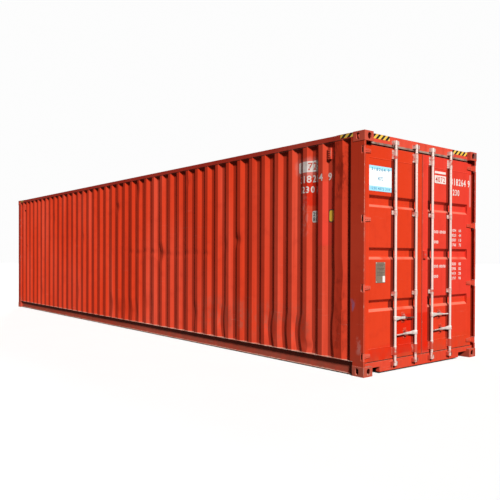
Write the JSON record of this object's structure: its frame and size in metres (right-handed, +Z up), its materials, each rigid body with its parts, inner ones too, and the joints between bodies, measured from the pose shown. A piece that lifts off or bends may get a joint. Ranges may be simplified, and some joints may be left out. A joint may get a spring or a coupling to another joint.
{
  "type": "freight shipping container",
  "caption": "Long steel freight box with corrugated walls, corner fittings for lifting and locking, and a pair of swinging end doors closed by turning rods.",
  "frame": {"origin": "on the ground plane under the middle of the box, halfway between the ends and between the sides, level with the undersides of the bottom corner fittings", "axes": "+X along the length towards the doors, +Y across towards the right-hand door as seen facing the doors, +Z up"},
  "size_m": [12.192, 2.438, 2.896],
  "materials": {
    "red_paint": "weathered satin",
    "door_paint": "repainted satin",
    "casting_paint": "worn and faded",
    "underframe_coating": "matt bituminous",
    "galvanised_steel": "dull galvanised",
    "worn_fittings": "galvanised under worn red paint",
    "bare_steel": "bare, lightly rusted",
    "pale_gutter": "chalky",
    "plate_metal": "dull",
    "black_rubber": "matt",
    "floor_plywood": "varnished plywood, scuffed"
  },
  "bodies": {
    "frame": {"bottom_side_rails": "red_paint", "cam_keepers": "worn_fittings", "corner_fittings_bottom": "casting_paint", "corner_fittings_top": "casting_paint", "cross_members": "underframe_coating", "door_header": "red_paint", "door_post_channels": "red_paint", "door_sill": "red_paint", "floor_boards": "floor_plywood", "floor_centre_rail": "underframe_coating", "front_corner_posts": "red_paint", "front_sill": "red_paint", "front_top_rail": "red_paint", "front_wall": "red_paint", "hinge_lugs": "red_paint", "rain_gutter": "pale_gutter", "rear_corner_posts": "red_paint", "roof_corner_plates": "red_paint", "roof_panel": "red_paint", "side_wall_left": "red_paint", "side_wall_right": "red_paint", "top_side_rails": "red_paint", "tunnel_bows": "underframe_coating", "tunnel_outriggers": "underframe_coating", "tunnel_plate": "underframe_coating", "tunnel_sides": "underframe_coating", "ventilators": "red_paint"},
    "door_left": {"door_frame_left": "door_paint", "door_panel_left": "door_paint", "door_gasket_left": "black_rubber", "door_hinges_left": "red_paint", "hinge_pins_left": "bare_steel", "rod_brackets_left": "worn_fittings", "handle_catches_left": "worn_fittings", "data_plate": "plate_metal"},
    "door_right": {"door_frame_right": "door_paint", "door_panel_right": "door_paint", "door_gasket_right": "black_rubber", "door_hinges_right": "red_paint", "hinge_pins_right": "bare_steel", "rod_brackets_right": "worn_fittings", "handle_catches_right": "worn_fittings", "seal_plate": "red_paint"},
    "rod_left_outer": {"locking_rod_left_outer": "galvanised_steel", "handle_left_outer": "galvanised_steel"},
    "rod_left_inner": {"locking_rod_left_inner": "galvanised_steel", "handle_left_inner": "galvanised_steel"},
    "rod_right_inner": {"locking_rod_right_inner": "galvanised_steel", "handle_right_inner": "galvanised_steel"},
    "rod_right_outer": {"locking_rod_right_outer": "galvanised_steel", "handle_right_outer": "galvanised_steel"}
  },
  "joints": [
    {"name": "door_left_swing", "type": "hinge", "parent": "frame", "child": "door_left", "pos_m": [6.078, -1.201, 0], "axis": [0, 0, -1], "range_deg": [0, 265]},
    {"name": "door_right_swing", "type": "hinge", "parent": "frame", "child": "door_right", "pos_m": [6.078, 1.201, 0], "axis": [0, 0, 1], "range_deg": [0, 265]},
    {"name": "rod_left_outer_turn", "type": "hinge", "parent": "door_left", "child": "rod_left_outer", "pos_m": [6.074, -0.6, 0], "axis": [0, 0, 1], "range_deg": [-100, 0]},
    {"name": "rod_left_inner_turn", "type": "hinge", "parent": "door_left", "child": "rod_left_inner", "pos_m": [6.074, -0.178, 0], "axis": [0, 0, -1], "range_deg": [-100, 0]},
    {"name": "rod_right_inner_turn", "type": "hinge", "parent": "door_right", "child": "rod_right_inner", "pos_m": [6.074, 0.178, 0], "axis": [0, 0, 1], "range_deg": [-100, 0]},
    {"name": "rod_right_outer_turn", "type": "hinge", "parent": "door_right", "child": "rod_right_outer", "pos_m": [6.074, 0.6, 0], "axis": [0, 0, -1], "range_deg": [-100, 0]}
  ]
}
